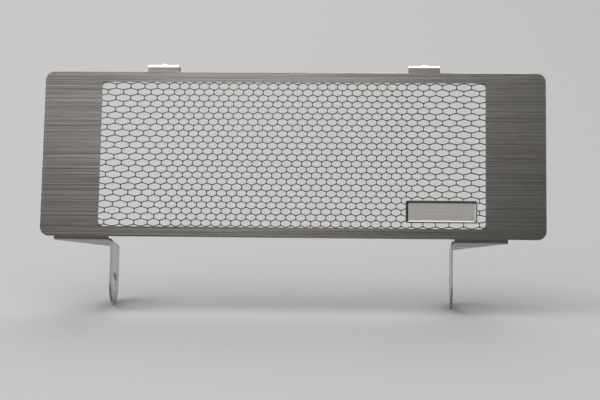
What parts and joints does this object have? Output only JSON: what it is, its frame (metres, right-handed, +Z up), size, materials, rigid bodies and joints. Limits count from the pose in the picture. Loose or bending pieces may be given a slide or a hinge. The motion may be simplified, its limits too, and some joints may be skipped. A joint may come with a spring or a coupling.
{
  "type": "oil cooler guard",
  "caption": "Folded steel guard with a honeycomb window, straps that hook over a motorbike's oil cooler and two legs with eyes for springs.",
  "frame": {"origin": "under the middle of the plate, at half the guard's depth, level with the ends of the legs", "axes": "+X along the plate to the viewer's right, +Y from the plate's front towards the cooler, +Z up"},
  "size_m": [0.28, 0.0305, 0.1358],
  "materials": {
    "steel": "brushed along the plate"
  },
  "bodies": {
    "root": {"guard_panel": "steel"}
  },
  "joints": []
}
